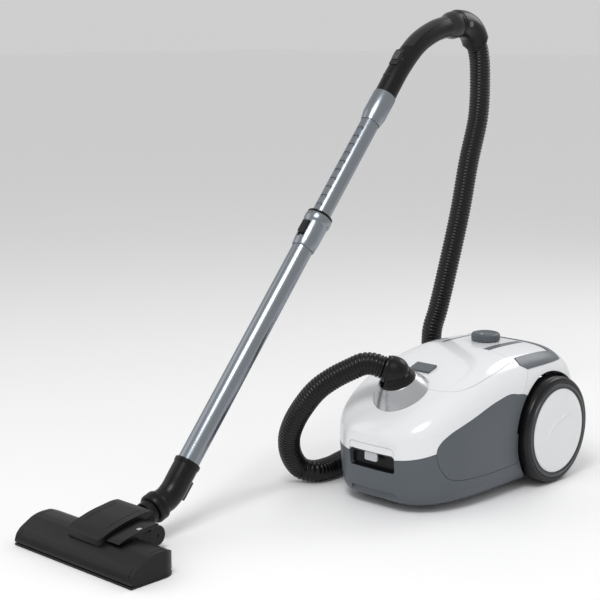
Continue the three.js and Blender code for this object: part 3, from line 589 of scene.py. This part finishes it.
def make_housing():
    outer = housing(0)
    outside = cut(
        copy_of(outer), wheel_well(1), wheel_well(-1),
        rod((0, CASTER_Y, -5), (0, CASTER_Y, CASTER_WELL_TOP), CASTER_WELL_R),
        rounded_block((-LATCH_HALF, LATCH_HALF), (-NOSE - 5, -NOSE + RECESS_DEPTH), (RECESS_LOW, RECESS_HIGH),
                      RECESS_CORNER),
        rounded_block((-TOE_HALF, TOE_HALF), (-NOSE - 5, -NOSE + TOE_DEPTH), (-20, TOE_TOP), TOE_CORNER),
    )
    hollow = cut(
        housing(WALL, COARSE), wheel_wall(1, 0), wheel_wall(-1, 0),
        rod((0, CASTER_Y, -5), (0, CASTER_Y, CASTER_WELL_TOP + WALL), CASTER_WELL_R + WALL),
        block((-LATCH_HALF - WALL, LATCH_HALF + WALL), (-NOSE - 5, -NOSE + RECESS_DEPTH + WALL),
              (RECESS_LOW - WALL, RECESS_HIGH)),
        block((-TOE_HALF - WALL, TOE_HALF + WALL), (-NOSE - 5, -NOSE + TOE_DEPTH + WALL),
              (-5, TOE_TOP + WALL)),
    )
    skin = cut(outside, hollow)
    panels = [panel_zone(1, SEAM_GAP / 2), panel_zone(-1, SEAM_GAP / 2)]

    below = prism([(-FAR, -10), (FAR, -10), (FAR, SEAM_Z), (SEAM_BEND_Y, SEAM_Z), (-FAR, SEAM_NOSE_Z)], ALL)
    shell = keep(copy_of(skin), below)
    shell = cut(shell, *[cut(copy_of(p), wheel_wall(s, 0)) for p, s in zip(panels, (1, -1))],
                latch_zone(SEAM_GAP / 2))
    present(shell, "shell_lower", "canister", "lower_shell", SLATE, 0.5)

    seam = [(-FAR, SEAM_NOSE_Z + SEAM_GAP), (SEAM_BEND_Y, SEAM_Z + SEAM_GAP)]
    lid = keep(copy_of(skin), prism([*seam, *lid_rear(0), (-FAR, FAR)], ALL))
    lid = cut(lid, *[copy_of(p) for p in panels], latch_zone(SEAM_GAP / 2),
              rod(on_inlet(-60), on_inlet(60), INLET_HOLE_R))
    for side in (-1, 1):
        line = [(46, -121), (70, -116), (88, -104), (99, -77), (102, -32), (101, 0), (98, 30)]
        track = curtain([(side * x, y) for x, y in line], 0.55, (120, FAR))
        cut(lid, keep(cut(housing(-2, COARSE), housing(0.9)), track))
    present(lid, "lid_shell", "lid", "lid", WHITE, 0.6)

    behind_lid = [(FAR, FAR), *lid_rear(HINGE_GAP)[::-1]]
    cover = keep(copy_of(skin), prism([(FAR, SEAM_Z + SEAM_GAP), *behind_lid], ALL))
    bay = keep(cut(housing(-2, COARSE), housing(10, COARSE)), handle_zone(SEAM_GAP))
    trough = keep(cut(copy_of(outer), housing(13, COARSE)), handle_zone(3),
                  prism([(FAR, SEAM_Z + 1), *behind_lid], ALL))
    cover = add(cover, trough)
    cover = cut(
        cover, bay, *[copy_of(p) for p in panels], wheel_wall(1, 0.3), wheel_wall(-1, 0.3),
        rewind_zone(SEAM_GAP), power_zone(SEAM_GAP), grille_zone(SEAM_GAP),
        rod((0, KNOB_Y, 200), (0, KNOB_Y, FAR), 6),
    )
    present(cover, "cover_top", "canister", "top_cover", WHITE, 0.6)

    for side, name in ((1, "left"), (-1, "right")):
        panel = keep(copy_of(skin), panel_zone(side, -SEAM_GAP / 2))
        panel = cut(panel, wheel_wall(side, SEAM_GAP))
        present(panel, f"panel_{name}", "canister", f"side_panel_{name}", SLATE, 0.7)
    for panel in panels:
        bpy.data.objects.remove(panel)

    flap = keep(copy_of(skin), latch_zone(-SEAM_GAP / 2), block(ALL, (-FAR, -150), (LATCH_LOW + 0.4, 200)))
    hook = rounded_block((-13, 13), (-211.9, -208.4), (80, LATCH_LOW + 6), 3)
    present(flap, "latch_flap", "lid_latch", "lid_latch", WHITE, 0.6)
    present(hook, "latch_hook", "lid_latch", "", LIGHT, 0.5)
    back = -NOSE + RECESS_DEPTH
    # Painted shade: a black sheet against the latch recess's back wall and a thin black strip on its floor,
    # put there to darken the recess.
    recess_shade_sheet = rounded_block((-46.6, 46.6), (back - 0.9, back - 0.2), (66.3, 88), 5.6)
    present(recess_shade_sheet, "recess_back_shade", "canister", "", BLACK)
    floor_shade_strip = rounded_block((-45, 45), (-NOSE + 5, back - 1), (66.2, 67.0), 0.3)
    present(floor_shade_strip, "recess_floor_shade", "canister", "", BLACK)

    top_slab = cut(housing(-1.0), housing(9, COARSE))
    bar = keep(copy_of(top_slab), handle_zone(0))
    pivot = rod((-150, BAR_PIVOT_Y, BAR_PIVOT_Z), (150, BAR_PIVOT_Y, BAR_PIVOT_Z), BAR_PIVOT_R)
    corner = cut(block((-150, 150), (0, BAR_PIVOT_Y), (100, 300)), pivot)
    cut(bar, corner)
    present(bar, "handle_bar", "carry_handle", "carry_handle", TRIM, 1.2)
    thin = cut(copy_of(outer), housing(PEDAL_DEPTH, COARSE))
    present(keep(copy_of(thin), rewind_zone(0)), "pedal_rewind", "rewind_pedal", "rewind_pedal", TRIM,
            0.8)
    present(keep(thin, power_zone(0)), "pedal_power", "power_pedal", "power_pedal", TRIM,
            0.6)
    tab = keep(cut(housing(-4, COARSE), housing(-0.6, COARSE)), block((-24, 17), (-86, -64), (150, FAR)))
    present(tab, "tab_release", "release_tab", "release_tab", TRIM, 0.9)
    for left_over in (outer, skin, top_slab):
        bpy.data.objects.remove(left_over)


# ---- inlet ------------------------------------------------------------------------------------------
ELBOW_TURN = on_inlet(38)
ELBOW_OUT = Vector((-0.8, -0.52, 0.3)).normalized()
CLIP_OUT = Vector((0.98, 0.05, -0.2)).normalized()


def make_inlet():
    collar = lathe(on_inlet(0), inlet_axis(), [
        (-14, 30.2), (-14, 53.6), (-6, 50.2), (6, 43.2), (15, 37.2), (19.5, 33.4), (21.4, 32.4), (22, 31.6),
        (22, 30.2)], ring=True)
    cut(collar, housing(-0.4, COARSE))
    present(collar, "collar_inlet", "lid", "inlet_collar", SILVER, 0.4)
    turn = on_line(ELBOW_TURN, ELBOW_OUT)
    ball = lathe(ELBOW_TURN, inlet_axis(),
                 [(ELBOW_R * math.cos(a), ELBOW_R * math.sin(a)) for a in np.linspace(0, math.pi, 33)][::-1])
    body = add(rod(on_inlet(-32), ELBOW_TURN, ELBOW_R), ball, rod(ELBOW_TURN, turn(11), ELBOW_R + 0.1))
    skirt = lathe(on_inlet(0), inlet_axis(), [
        (22.5, 0), (22.5, 30.3), (25.5, 30.6), (28, 29.6), (31, 27.2), (36, 25.2), (36, 0)])
    add(body, skirt)
    cut(body, rod(turn(9), turn(40), 40))
    present(body, "elbow_inlet", "lid", "hose_elbow", BLACK, 0.6)
    ring = lathe(turn(9), ELBOW_OUT, [
        (0.4, 17), (0.4, 23.4), (2.2, 23.9), (3.4, 23.2), (4.2, 22.4), (6.6, 22.4), (7.6, 21.8), (8, 20.8),
        (8, 17)], ring=True)
    present(ring, "ring_inlet", "inlet_swivel_ring", "inlet_swivel_ring", BLACK)
    clip = lathe(ELBOW_TURN, CLIP_OUT, [(23.6, 0), (23.6, 4.5), (25.6, 4.5), (26.2, 3.8), (26.2, 0)], 40)
    present(clip, "clip_inlet", "cuff_clip", "cuff_clip", DARK_SLATE)


# ---- knob and wheels --------------------------------------------------------------------------------
def make_knob():
    knob = lathe((0, KNOB_Y, 0), (0, 0, 1), [
        (203, 0), (203, 4), (233, 4), (233, 24), (234, 25), (241, 25), (243.6, 24.4), (245.3, 22.6),
        (246, 20), (244.9, 17.6), (244.2, 12), (244.0, 0)], 120)
    for k in range(KNOB_RIDGES):
        angle = 2 * math.pi * k / KNOB_RIDGES
        x, y = KNOB_RIDGE_REACH * math.cos(angle), KNOB_Y + KNOB_RIDGE_REACH * math.sin(angle)
        cut(knob, rod((x, y, 234.5), (x, y, 242.2), 1.1, sides=12))
    present(knob, "knob_suction", "knob", "knob", SLATE, 0.3)
    mark = rounded_block((-1.2, 1.2), (KNOB_Y - 21, KNOB_Y - 9), (243.9, 245.1), 0.5)
    present(mark, "knob_mark", "knob", "", LIGHT)


def make_wheel(side, name):
    origin, out = (0, WHEEL_Y, WHEEL_R), (side, 0, 0)
    body = f"{name}_wheel"
    tyre = lathe(origin, out, [
        (WHEEL_IN, 82), (WHEEL_IN, 89.5), (110.5, 91.2), (113, 91.7), (132, 91.7), (136, 91.3), (138.6, 89.8),
        (140, 87.2), (140.4, 84), (140.2, 82)], 192, ring=True)
    present(tyre, f"tread_{name}", body, f"tyre_{name}", RUBBER)
    rim = lathe(origin, out, [
        (WHEEL_IN, 0), (WHEEL_IN, 81.5), (140.0, 81.5), (141.8, 80.6), (143, 78.6), (143, 76.6),
        (142.2, 75.8), (141.2, 75.4), (141.2, 74.4), (142.2, 74), (142.2, 73.4), (139, 73.2), (139, 0)], 192)
    present(rim, f"rim_{name}", body, f"wheel_{name}", RIM)
    cap = lathe(origin, out, [
        (140, 0), (140, 72.4), (141.4, 72.6), (142.6, 71.6), (143.4, 69.6), (143.9, 66), (144.4, 56),
        (144.7, 30), (144.8, 0)], 192)
    present(cap, f"cap_{name}", body, f"hubcap_{name}", WHITE)
    swoosh = sweep([
        (side * 144.1, WHEEL_Y - 46, WHEEL_R - 22), (side * 144.5, WHEEL_Y - 24, WHEEL_R + 8),
        (side * 144.6, WHEEL_Y + 8, WHEEL_R + 24), (side * 144.2, WHEEL_Y + 46, WHEEL_R + 22)],
        lambda s: 0.4 + 1.3 * math.sin(math.pi * min(1.0, s / 118)), 2.0, 20)
    present(swoosh, f"wave_{name}", body, "", WHITE)


# ---- tube and handle --------------------------------------------------------------------------------
TUBE_UP = Vector((0, math.cos(WAND_ANGLE), math.sin(WAND_ANGLE)))
TUBE_OFF = Vector((0, -math.sin(WAND_ANGLE), math.cos(WAND_ANGLE)))


def on_tube(s, off=0.0, x=0.0):
    return Vector((WAND_X + x, FOOT_Y, FOOT_Z)) + TUBE_UP * s + TUBE_OFF * off


def tube_lathe(profile, ring=True, sides=96):
    return lathe(on_tube(0), TUBE_UP, profile, sides, ring)


def tube_pad(s, off, half, corner):
    """A block lying on the tube, its corners rounded as seen from above."""
    outline = rounded_rectangle(s, (-half, half), corner, 6, 0)
    return drawn_out("pad", *([on_tube(a, level, b) for a, b in outline] for level in off))


GRIP_AXIS = Vector((0, 0.985, 0.172)).normalized()
on_grip = on_line((WAND_X, 175, 773.1), GRIP_AXIS)
CUFF_AXIS = Vector((0, 0.5, -0.866025)).normalized()
on_cuff = on_line((WAND_X, 238, 744), CUFF_AXIS)


def in_plane(y, z):
    return (WAND_X, y, z)


def pipe(s, wall, r):
    return tube_lathe([(s[0], r - wall), (s[0], r), (s[1], r), (s[1], r - wall)])


def make_tubes():
    lower = pipe((-28, 414), 1.0, LOWER_TUBE_R)
    present(lower, "tube_lower", "lower_tube", "outer_tube", CHROME)
    upper = pipe((180, 716), 1.2, UPPER_TUBE_R)
    for k in range(NOTCHES):
        s = NOTCH_START + k * NOTCH_STEP
        cut(upper, tube_pad((s, s + NOTCH_LENGTH), (14.2, 22), 7.4, 2.4))
    present(upper, "tube_upper", "canister", "inner_tube", CHROME, 0.25)
    core = tube_lathe([(182, 0), (182, 14.8), (714, 14.8), (714, 0)], False, 48)
    present(core, "tube_core", "canister", "", CHROME)
    collar = tube_lathe([
        (662, 16.6), (662, 17.2), (664, 17.8), (674, 19.4), (677, 20.2), (718, 20.4), (720.4, 20.1),
        (721, 19.4), (721, 16.6)])
    present(collar, "collar_tube", "canister", "tube_collar", CHROME)


def make_sleeve():
    sleeve = tube_lathe([
        (404, 18.2), (404, 19.2), (406, 19.8), (414, 20.4), (422, 21), (450, 21.2), (453, 22.2), (455, 23.1),
        (463, 23.2), (466, 22.6), (468, 20.6), (468, 16.6), (416, 16.6), (416, 18.2)])
    cut(sleeve, tube_pad((417.5, 448), (17, 30), 7, 2.5))
    present(sleeve, "sleeve_tube", "lower_tube", "tube_sleeve", CHROME, 0.3)
    lip = tube_lathe([(467.4, 17), (467.4, 21.6), (468.4, 22.2), (470.2, 22.2), (471, 21.4), (471, 17)])
    present(lip, "sleeve_lip", "lower_tube", "", BLACK)
    button = tube_pad((423, 447), (18.4, 24.4), 6.3, 2.6)
    for k in range(5):
        s = 426.5 + k * 4
        add(button, tube_pad((s, s + 1.8), (23.8, 25.6), 5.4, 0.8))
    present(button, "button_tube", "tube_button", "tube_button", CHARCOAL, 0.5)


def make_handle():
    start = on_tube(721.4)
    course = [tuple(start), in_plane(24, 700.5), in_plane(70, 740), in_plane(116, 761), tuple(on_grip(-25)),
              tuple(on_grip(-10))]
    grip = sweep(course, lambda s: GRIP_R, 2.5, 72)
    present(grip, "grip", "canister", "handle", BLACK, 0.8)
    flare = lathe(on_grip(0), GRIP_AXIS, [
        (-30, 0), (-30, 18.2), (-26, 19.3), (-20, 21.2), (-14, 23.3), (-10, 24.2), (-1.2, 24.4), (-0.2, 23.6),
        (-0.2, 0)])
    present(flare, "grip_flare", "canister", "", CHARCOAL)
    panel_course = [tuple(Vector(p) + Vector((0, -0.2, 0.9))) for p in course[1:]]
    panel = sweep(panel_course, lambda s: GRIP_R - 0.3, 2.5, 72)
    keep(panel, sweep([tuple(Vector(p) + Vector((0, -9, 15))) for p in course[1:]], lambda s: 13.5, 3, 48))
    present(panel, "grip_panel", "canister", "", CHARCOAL, 0.5)
    for s in (752, 775):
        band = tube_pad((s, s + 0.8), (17.6, 19.6), 9, 0.3)
        present(band, f"grip_seam_{s}", "canister", "", DARK_SLATE)
    cuff_course = [tuple(on_grip(0.6)), tuple(on_grip(10)), in_plane(203, 773.2), in_plane(220, 766),
                   tuple(on_cuff(-12)), tuple(on_cuff(0))]
    cuff = sweep(cuff_course, lambda s: CUFF_R - 1.6 * max(0.0, (2 - s) / 2), 1.0, 72)
    pocket = rod((WAND_X + 20.5, 192, 773.8), (WAND_X + 40, 192, 773.8), 5.6)
    cut(cuff, pocket)
    present(cuff, "cuff", "canister", "handle_cuff", BLACK, 0.7)
    flange = lathe(on_grip(0), GRIP_AXIS, [(7, 23), (7, 24.9), (9, 25.1), (11, 24.9), (11, 23)], ring=True)
    present(flange, "cuff_flange", "canister", "", BLACK)
    button = lathe((WAND_X, 192, 773.8), (1, 0, 0), [(22.5, 0), (22.5, 5), (26, 5), (27, 4.2), (27, 0)], 48)
    present(button, "button_cuff", "cuff_button", "cuff_button", GREY, 0.2)
    ring = lathe(on_cuff(0), CUFF_AXIS, [
        (0.4, 17), (0.4, 22.2), (2, 22.4), (3, 21.4), (5.6, 21.2), (6.4, 20.2), (6.4, 17)], ring=True)
    present(ring, "ring_handle", "handle_swivel_ring", "handle_swivel_ring", BLACK)
    slider = tube_pad((784, 800), (20.6, 22.6), 6, 1.5)
    for k in range(5):
        s = 785.4 + k * 2.9
        add(slider, tube_pad((s, s + 1.4), (22.2, 24), 5.2, 0.6))
    present(slider, "slider_air", "air_slider", "air_slider", GREY, 0.3)
    bed = tube_pad((774, 806), (16, 20.4), 8, 3)
    present(bed, "slider_bed", "canister", "", CHARCOAL, 0.5)


# ---- neck and nozzle --------------------------------------------------------------------------------
NECK_AXIS = Vector((0, -math.cos(NECK_DROP), -math.sin(NECK_DROP)))
on_neck = on_line((WAND_X, NECK_Y, NECK_Z), NECK_AXIS)


def make_neck():
    course = [*(tuple(on_tube(s)) for s in (0, -25, -46)), *(tuple(on_neck(s)) for s in (-22, -6.5))]
    elbow = sweep(course, lambda s: NECK_R, 2.0, 72)
    cut(elbow, tube_pad((-64, -19.5), (-36, -20.4), 7.5, 1.0))
    present(elbow, "elbow_neck", "lower_tube", "neck_elbow", BLACK, 0.8)
    mouth = tube_lathe([(-3, 18.1), (-3, 21), (-1, 21.4), (3.4, 21.4), (4.4, 20.4), (4.4, 18.1)])
    present(mouth, "neck_rim", "lower_tube", "", BLACK)
    clip = tube_pad((-50, -18), (-27.4, -19.8), 5.4, 2.0)
    present(clip, "clip_neck", "neck_clip", "neck_clip", DARK_SLATE, 0.5)
    ring = lathe(on_neck(0), NECK_AXIS, [
        (-6, 17), (-6, 22.6), (-4, 23.8), (-2.5, 24), (1, 24), (2, 23.2), (3, 23.2), (4, 24), (10, 24),
        (12, 23), (13, 21.4), (13, 17)], ring=True)
    present(ring, "ring_neck", "neck", "neck_ring", BLACK)
    centre = (WAND_X, BARREL_Y, BARREL_Z)
    half, rounded_r = BARREL_HALF, BARREL_R - 1.2
    barrel = lathe(centre, (1, 0, 0), [
        (-half, 0), (-half, rounded_r), (1 - half, BARREL_R), (half - 1, BARREL_R), (half, rounded_r),
        (half, 0)])
    add(barrel, rod(on_neck(13.4), on_neck(25), 19), rod(on_neck(22), centre, 18.5, 14))
    present(barrel, "yoke_body", "neck", "yoke", SPARK, 0.8)


def nozzle_outline():
    front, rear, top = NOZZLE_FRONT, NOZZLE_REAR, NOZZLE_TOP
    return rounded_outline([
        (front, 3.6), (rear, 3.6), (rear, top - 15), (rear - 7, top - 6), (rear - 22, top), (front + 48, top),
        (front + 34, top - 3), (front + 21, top - 10), (front + 10, top - 16), (front + 3, top - 24),
        (front, top - 32)], 4, 0.3)


def corner_cutters(corner):
    tools = []
    for side, x in ((-1, NOZZLE_LEFT), (1, NOZZLE_RIGHT)):
        mx, my = x - side * corner, NOZZLE_REAR - corner
        span = (mx, x + 5) if side > 0 else (x - 5, mx)
        square = block(span, (my, NOZZLE_REAR + 5), (-20, 70))
        tools.append(cut(square, rod((mx, my, -30), (mx, my, 80), corner)))
    return tools


def make_nozzle():
    hull = prism(nozzle_outline(), (NOZZLE_LEFT, NOZZLE_RIGHT))
    cut(hull, *corner_cutters(26))
    cut(hull, block((NOZZLE_LEFT + 3, NOZZLE_RIGHT - 3), (NOZZLE_FRONT + 3, NOZZLE_REAR - 3), (-5, 9)))
    for lift in (11.0, 14.6):
        cut(hull, block((NOZZLE_LEFT - 2, NOZZLE_RIGHT + 2), (NOZZLE_FRONT - 4, NOZZLE_FRONT + 1.3),
                        (lift, lift + 1.0)))
    for x in (NOZZLE_LEFT + 9, NOZZLE_RIGHT - 9):
        cut(hull, prism([(-710, 46), (-709, 12), (-706, 20), (-699, 27), (-690, 33), (-678, 38.6),
                         (-664, 40.2), (-640, 40.2), (-640, 46)], (x - 0.45, x + 0.45)))
    present(hull, "nozzle_body", "nozzle", "nozzle_housing", SPARK, 1.6)
    for side in (-1, 1):
        x0 = WAND_X + side * (BARREL_HALF + 0.4)
        ear = lathe((x0, BARREL_Y, BARREL_Z), (side, 0, 0), [
            (0, 0), (0, BARREL_R), (4.4, BARREL_R), (5.6, BARREL_R - 1), (5.6, 3), (4.4, 2.6), (4.4, 0)], 72)
        arm_x = sorted((x0 + side * 0.1, x0 + side * 5.4))
        add(ear, block(arm_x, (NOZZLE_REAR - 2, BARREL_Y), (14, 34)))
        present(ear, f"nozzle_ear_{'a' if side < 0 else 'b'}", "nozzle", "", SPARK, 0.5)
    hood = prism(rounded_outline([
        (-690, 30), (-640, 30), (-624, 47), (-588, 58), (-586, 64), (-600, 65), (-640, 59.5), (-672, 51),
        (-689, 43)], 4, 0.3), (WAND_X - HOOD_HALF, WAND_X + HOOD_HALF))
    keep(hood, rounded_plan((WAND_X - HOOD_HALF, WAND_X + HOOD_HALF), (-690, -560), (20, 80), 13))
    cut(hood, prism([(y, z + 0.25) for y, z in nozzle_outline()], (NOZZLE_LEFT, NOZZLE_RIGHT)))
    for x in ((HOOD_GROOVE_IN, HOOD_GROOVE_OUT), (-HOOD_GROOVE_OUT, -HOOD_GROOVE_IN)):
        cut(hood, prism([(-674, 60), (-674, 50.5), (-640, 58.6), (-602, 64.2), (-602, 70)],
                        (WAND_X + x[0], WAND_X + x[1])))
    present(hood, "nozzle_cover", "nozzle", "nozzle_hood", SPARK, 2.2)
    pedal = prism(rounded_outline([
        (-682, 41.6), (-668, 41.6), (-622, 50), (-606, 52), (-604, 56), (-620, 56.5), (-646, 52), (-672, 46)],
        4, 0.3), (WAND_X + 42, WAND_X + 72))
    present(pedal, "nozzle_foot_pedal", "nozzle_pedal", "nozzle_pedal", BLACK, 2.4)
    mark = block((WAND_X + 63, WAND_X + 69), (-640, -632), (53.0, 54.2))
    present(mark, "pedal_mark", "nozzle_pedal", "", LIGHT, 0.2)


# ---- studio -----------------------------------------------------------------------------------------
def make_light(name, where, aim, size, watts):
    data = bpy.data.lights.new(name, "AREA")
    data.shape, data.size, data.energy = "DISK", size, watts
    light = bpy.data.objects.new(name, data)
    bpy.context.scene.collection.objects.link(light)
    light.location = place(where)
    light.rotation_euler = (place(aim) - place(where)).to_track_quat("-Z", "Y").to_euler()


def make_studio():
    mesh = bpy.data.meshes.new("floor")
    reach, level = 30.0, -0.0006
    corners = [(-reach, -reach, level), (reach, -reach, level), (reach, reach, level), (-reach, reach, level)]
    mesh.from_pydata(corners, [], [(0, 1, 2, 3)])
    floor = bpy.data.objects.new("floor", mesh)
    bpy.context.scene.collection.objects.link(floor)
    paint(floor, material("floor", (0.965, 0.965, 0.97), 0.6, depth=0.0))
    world = bpy.data.worlds.new("studio")
    bpy.context.scene.world = world
    world.use_nodes = True
    background = world.node_tree.nodes["Background"]
    background.inputs["Color"].default_value = (1.0, 1.0, 1.0, 1.0)
    background.inputs["Strength"].default_value = 0.62
    make_light("key", (500, -1300, 2100), (-60, -150, 200), 0.9, 21.0)
    make_light("fill", (-1900, -1300, 1300), (-60, -150, 200), 1.8, 5.0)
    make_light("rim", (200, 1700, 1700), (-60, -50, 300), 1.2, 11.0)
    bpy.context.scene.view_settings.view_transform = "Standard"


paint_cad()
make_hose()
make_housing()
make_inlet()
make_knob()
make_wheel(1, "left")
make_wheel(-1, "right")
make_tubes()
make_sleeve()
make_handle()
make_neck()
make_nozzle()
make_studio()
